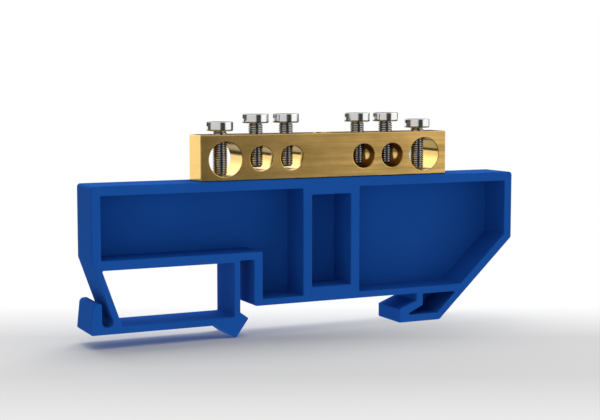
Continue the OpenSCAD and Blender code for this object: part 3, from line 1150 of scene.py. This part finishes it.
@dataclass
class ClampScrew:
    """A slotted cheese-head screw with a full thread, over one of the wire holes."""

    number: int
    thread_r: float = 1.285
    pitch: float = 0.4
    thread_h: float = 0.22
    root_share: float = 0.08  # of half a pitch
    flank_share: float = 0.45
    neck_r: float = 1.08
    tip_r: float = 0.9
    head_r: float = 2.35
    head_h: float = 1.6
    slot_depth: float = 0.75
    edge_r: float = 0.12
    fillet: Triple = (0.0, 0.25, 1.0)  # shares of the edge's radius
    under_r: float = 0.28
    runout: float = 0.25
    rows_per_turn: int = 10
    head: SlottedHead = field(default_factory=SlottedHead)

    def node(self) -> str:
        """Returns the name of the screw's solid."""
        return f"clamp_screw_{self.number}"

    def _thread(self, angles: Array, z_low: float, z_high: float) -> tuple[Array, Array]:
        """Works out the thread.

        A row climbs one pitch in a turn, so that it follows the helix. Its radius rises and falls
        once a pitch between root and crest, is cut back at 45 degrees from the tip, and runs out
        to the neck under the head. Rows past either end lie on that end's circle. Two rows before
        the first close the tip.

        Args:
            angles: angles round the screw, with the closing one.
            z_low: height of the tip.
            z_high: height where the thread ends.

        Returns:
            The radius and the height, one row for each step up the helix.
        """
        turns = int((z_high - z_low) / self.pitch + 2)  # rows start a turn below the tip
        rows = np.arange(turns * self.rows_per_turn)[:, None] / self.rows_per_turn
        climb = (angles - angles[0]) / FULL_TURN
        z = np.clip(z_low + self.pitch * (rows - 1 + climb), z_low, z_high)
        rise = 1 - np.abs(2 * (rows % 1.0) - 1)
        ridge = np.clip((rise - self.root_share) / self.flank_share, 0.0, 1.0)
        radius = self.thread_r - self.thread_h * (1 - ridge)
        ending = np.clip((z_high - z) / self.runout, 0.0, 1.0)
        radius = self.neck_r + (radius - self.neck_r) * ending
        radius = np.minimum(radius, self.tip_r + (z - z_low))
        tip = np.zeros((1, len(angles)))
        return np.r_[tip, tip + self.tip_r, radius], np.r_[tip + z_low, tip + z_low, z]

    def build(self, steels: Sequence[bpy.types.Material]) -> bpy.types.Object:
        """Makes the screw in the place of its solid.

        The thread, the head's underside and its rounding have the darker steel, painted shade.

        Args:
            steels: the finishes of the head and of the darker steel with painted shade.

        Returns:
            The piece, which stands for the screw's solid.
        """
        low, high = (np.array(corner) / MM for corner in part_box(self.node()))
        centre = tuple((low[:2] + high[:2]) / 2)
        z_tip, z_top = low[2], high[2]
        z_under, z_slot = z_top - self.head_h, z_top - self.slot_depth
        ring = self.head.angles(self.head_r)
        angles = np.append(ring, ring[0] + FULL_TURN)
        thread = turned(*self._thread(angles, z_tip, z_under - self.edge_r), angles, centre)
        bend = self.edge_r * np.array(self.fillet)
        inset, drop = round_edge(self.under_r)
        side_r = np.r_[self.neck_r + bend, self.head_r - inset, self.head_r]
        side_z = np.r_[z_under - bend[::-1], z_under + drop, z_slot]
        side = turned(side_r, side_z, angles, centre)
        skin = Skin()
        for grid, slot in ((thread, ScrewSlot.THREAD), (side[:-1], ScrewSlot.THREAD),
                           (side[-2:], ScrewSlot.HEAD)):
            skin.grid(grid, wrap=False, slot=slot)
        wall, levels = np.full(2, self.head_r), np.array([z_slot, z_top])
        self.head.add(skin, wall, levels, self.edge_r, centre)
        piece = skin.build(f"{self.node()}_steel", steels)
        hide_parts(self.node())
        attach(piece, Body.SCREW.value.format(self.number))
        return piece


@dataclass
class FixingScrew:
    """The countersunk screw that holds the bar down, sunk just under the bar's top."""

    shank_r: float = 1.25
    head_r: float = 2.2
    slot_depth: float = 0.5
    edge_r: float = 0.05
    head: SlottedHead = field(default_factory=SlottedHead)

    def build(self, steel: bpy.types.Material) -> bpy.types.Object:
        """Makes the screw: a shank and a 45 degree cone turned about its axis, and a slotted top.

        Args:
            steel: the screw's finish.

        Returns:
            The piece, which stands for the screw's solid.
        """
        low, high = (np.array(corner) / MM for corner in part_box("fixing_screw"))
        centre = tuple((low[:2] + high[:2]) / 2)
        z_slot = high[2] - self.slot_depth
        slot_r = self.head_r - self.slot_depth
        wide = (0.0, self.shank_r, self.shank_r, slot_r)
        levels = (low[2], low[2], z_slot - (slot_r - self.shank_r), z_slot)
        skin = Skin()
        skin.grid(turned(wide, levels, self.head.angles(slot_r), centre))
        wall, levels = np.array([slot_r, self.head_r]), np.array([z_slot, high[2]])
        self.head.add(skin, wall, levels, self.edge_r, centre)
        piece = skin.build("fixing_screw_steel", [steel])
        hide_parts("fixing_screw")
        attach(piece, Body.BASE.value)
        return piece


@dataclass(frozen=True)
class Lamp:
    """A soft oblong lamp: its name, place, width and height, and power in watts."""

    name: str
    at: Triple
    size: Pair
    power: float

    def hang(self, aim: Triple) -> None:
        """Hangs the lamp, and keeps it out of reflections.

        Args:
            aim: the point that it faces.
        """
        data = bpy.data.lights.new(self.name, "AREA")
        data.shape, data.energy = "RECTANGLE", self.power
        data.size, data.size_y = metres(self.size)
        lamp = bpy.data.objects.new(self.name, data)
        lamp.location = Vector(self.at) * MM
        lamp.rotation_euler = (Vector(aim) - Vector(self.at)).to_track_quat("-Z", "Y").to_euler()
        lamp.visible_glossy = False
        bpy.context.scene.collection.objects.link(lamp)


@dataclass
class Studio:
    """The pale floor, the soft light round it, and the camera."""

    eye: Triple = (-103.09, -212.58, 44.71)
    pitch_deg: float = 5.628
    yaw_deg: float = 25.593
    lens_mm: float = 78.67
    sensor_mm: float = 36.0
    clip_m: Pair = (0.01, 20.0)
    aim: Triple = (0.0, 0.0, 15.0)
    lamps: tuple[Lamp, ...] = (
        Lamp("lamp_back", (120.0, 400.0, 300.0), (700.0, 200.0), 0.7),
        Lamp("lamp_top", (40.0, 160.0, 420.0), (300.0, 200.0), 0.75),
    )
    floor_tone: float = 0.58
    floor_roughness: float = 0.9
    floor_r: float = 300.0
    floor_rings: int = 5
    floor_sides: int = 96
    white_behind: Pair = (-10.0, 22.0)
    white_before: Pair = (-40.0, -100.0)
    white_rim: Pair = (150.0, 270.0)
    ceiling_tone: float = 0.75
    ceiling_range: Pair = (0.45, 0.85)
    soft_deep: Stops = (
        (-1.0, 0.47), (-0.85, 0.51), (-0.45, 1.45), (0.0, 1.36), (0.35, 1.45), (0.7, 1.0),
        (1.0, 0.40),
    )
    soft_high: Stops = (
        (-1.0, 0.75), (-0.4, 0.85), (-0.2, 1.45), (0.0, 1.9), (0.2, 1.35), (0.4, 0.42),
        (0.75, 0.36), (1.0, 1.3),
    )
    soft_wide: Stops = (
        (-1.0, 0.0), (-0.9, 0.12), (-0.6, 1.40), (-0.30, 1.06), (1.0, 1.04),
    )
    room_round: Stops = (
        (-180.0, 1.1), (-148.0, 1.1), (-142.0, 0.10), (-108.0, 0.10), (-102.0, 0.70),
        (-22.0, 0.70), (-12.0, 0.05), (22.5, 0.05), (34.0, 1.2), (37.0, 1.1), (104.0, 1.1),
        (114.0, 0.12), (163.0, 0.12), (172.0, 1.1), (180.0, 1.1),
    )
    room_high: Stops = (
        (-1.0, 0.34), (-0.37, 0.43), (-0.33, 0.05), (-0.23, 0.05), (-0.17, 0.95), (0.0, 1.0),
        (0.25, 1.5), (1.0, 1.5),
    )

    def camera(self) -> None:
        """Sets the camera where the photograph was taken from."""
        data = bpy.data.cameras.new("camera")
        data.lens, data.sensor_width, data.sensor_fit = self.lens_mm, self.sensor_mm, "HORIZONTAL"
        data.clip_start, data.clip_end = self.clip_m
        camera = bpy.data.objects.new("camera", data)
        camera.location = Vector(self.eye) * MM
        pitch, yaw = np.radians(90.0 - self.pitch_deg), np.radians(-self.yaw_deg)
        camera.rotation_euler = Euler((pitch, 0.0, yaw))
        bpy.context.scene.collection.objects.link(camera)
        bpy.context.scene.camera = camera

    def floor(self) -> None:
        """Lays the floor, a disc that takes the part's shadow: a radius by an angle.

        The camera sees it as plain white behind the part and before it, measured along the way
        that the camera looks, and at its rim.
        """
        sheet = NodeSheet("floor_pale")
        sheet.dress(Base_Color=(*[self.floor_tone] * 3, 1.0), Roughness=self.floor_roughness,
                    Specular_IOR_Level=0.0)
        x, y, _ = sheet.split(sheet.place)
        yaw = np.radians(self.yaw_deg)
        deep = sheet.math("MULTIPLY", y, np.cos(yaw))
        deep = sheet.math("MULTIPLY_ADD", x, np.sin(yaw), deep)
        reach = sheet.add("ShaderNodeVectorMath", operation="LENGTH", Vector=sheet.place)
        white = sheet.math("MAXIMUM", sheet.span(deep, metres(self.white_behind)),
                           sheet.span(deep, metres(self.white_before)))
        rim = sheet.span(reach.outputs["Value"], metres(self.white_rim))
        seen = sheet.add("ShaderNodeLightPath").outputs["Is Camera Ray"]
        share = sheet.math("MULTIPLY", seen, sheet.math("MAXIMUM", white, rim))
        plain = sheet.add("ShaderNodeEmission", Strength=1.0)
        mix = sheet.add("ShaderNodeMixShader")
        sources = (share, sheet.shader.outputs["BSDF"], plain.outputs["Emission"])
        for source, socket in zip(sources, mix.inputs):
            sheet.put(source, socket)
        sheet.put(mix.outputs["Shader"], sheet.output.inputs["Surface"])
        skin = Skin()
        rings = np.linspace(0.0, self.floor_r, self.floor_rings)
        skin.grid(turned(rings, np.zeros_like(rings), full_turn(self.floor_sides), (0.0, 0.0)))
        floor = skin.build("floor", [sheet.material])
        floor.visible_glossy = floor.visible_diffuse = False

    def world(self) -> None:
        """Sets the light all round.

        Dull surfaces get soft light: a tone for how deep, one for how high and one for how far to
        the side it comes from, multiplied. Glossy ones mirror a room with dark gaps between its
        lights: a tone for the angle round the part times one for the height, under a plain ceiling.
        The camera sees plain white.
        """
        world = bpy.data.worlds.new("studio")
        bpy.context.scene.world = world
        world.use_nodes = True
        world.cycles.sampling_method = "NONE"
        sky = NodeTree(world.node_tree)
        x, y, z = sky.split(sky.add("ShaderNodeTexCoord").outputs["Generated"])
        turn = sky.math("DEGREES", sky.math("ARCTAN2", x, sky.math("MULTIPLY", y, -1.0)))
        room = sky.math("MULTIPLY", sky.tones(turn, self.room_round), sky.tones(z, self.room_high))
        room = sky.mix(sky.span(z, self.ceiling_range), room, (self.ceiling_tone,) * 3)
        soft = sky.math("MULTIPLY", sky.tones(y, self.soft_deep), sky.tones(z, self.soft_high))
        soft = sky.math("MULTIPLY", soft, sky.tones(x, self.soft_wide))
        ray = sky.add("ShaderNodeLightPath").outputs
        colour = sky.mix(ray["Is Glossy Ray"], soft, room)
        colour = sky.mix(ray["Is Camera Ray"], colour, (1.0, 1.0, 1.0))
        glow = sky.add("ShaderNodeBackground", Color=colour, Strength=1.0)
        sky.add("ShaderNodeOutputWorld", Surface=glow.outputs["Background"])

    def build(self) -> None:
        """Sets up the camera, the floor and the light."""
        bpy.context.scene.view_settings.view_transform = "Standard"
        self.camera()
        self.floor()
        self.world()
        for lamp in self.lamps:
            lamp.hang(self.aim)


def main() -> None:
    """Builds the studio and every piece of the part, in order."""
    logging.basicConfig(level=logging.INFO, format="%(name)s: %(message)s")
    Studio().build()
    steels = [HEAD_STEEL.material(), SHADED_STEEL.material()]
    bar = TerminalBar()
    pieces = [Holder().build(), bar.build(), FixingScrew().build(steels[ScrewSlot.HEAD])]
    pieces += [ClampScrew(i + 1).build(steels) for i in range(len(bar.places()))]
    for piece in pieces:
        LOG.info("made %s", piece.name)


if __name__ == "__main__":
    main()
